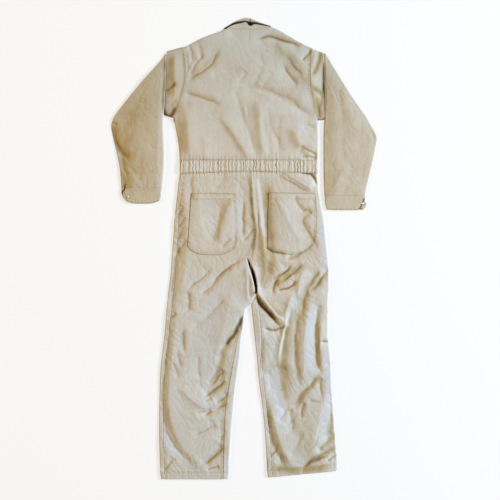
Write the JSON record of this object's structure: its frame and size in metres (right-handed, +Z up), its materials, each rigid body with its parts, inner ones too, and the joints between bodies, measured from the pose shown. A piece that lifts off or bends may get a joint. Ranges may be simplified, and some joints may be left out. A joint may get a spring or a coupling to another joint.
{
  "type": "boiler suit",
  "caption": "Long-sleeved cotton twill boiler suit laid out flat with its back up, sleeves folded down, with a gathered waist and patch hip pockets.",
  "frame": {"origin": "middle of the box round the whole suit, on the surface it lies on", "axes": "+Y along the suit toward the collar, +X across it to the right as seen from above with the back up, +Z up off the surface"},
  "size_m": [0.9298, 1.6161, 0.0148],
  "materials": {
    "twill": "matte stone-coloured cotton twill",
    "pearl": "pearl snap cap"
  },
  "bodies": {
    "root": {"back": "twill", "collar": "twill", "cuff_left": "twill", "cuff_right": "twill", "front_left": "twill", "front_placket": "twill", "front_right": "twill", "leg_back_left": "twill", "leg_back_right": "twill", "leg_front_left": "twill", "leg_front_right": "twill", "pocket_left": "twill", "pocket_right": "twill", "sleeve_left_arm": "twill", "sleeve_left_head": "twill", "sleeve_right_arm": "twill", "sleeve_right_head": "twill", "snap_left": "pearl", "snap_right": "pearl", "waistband_back": "twill", "waistband_front": "twill"}
  },
  "joints": []
}
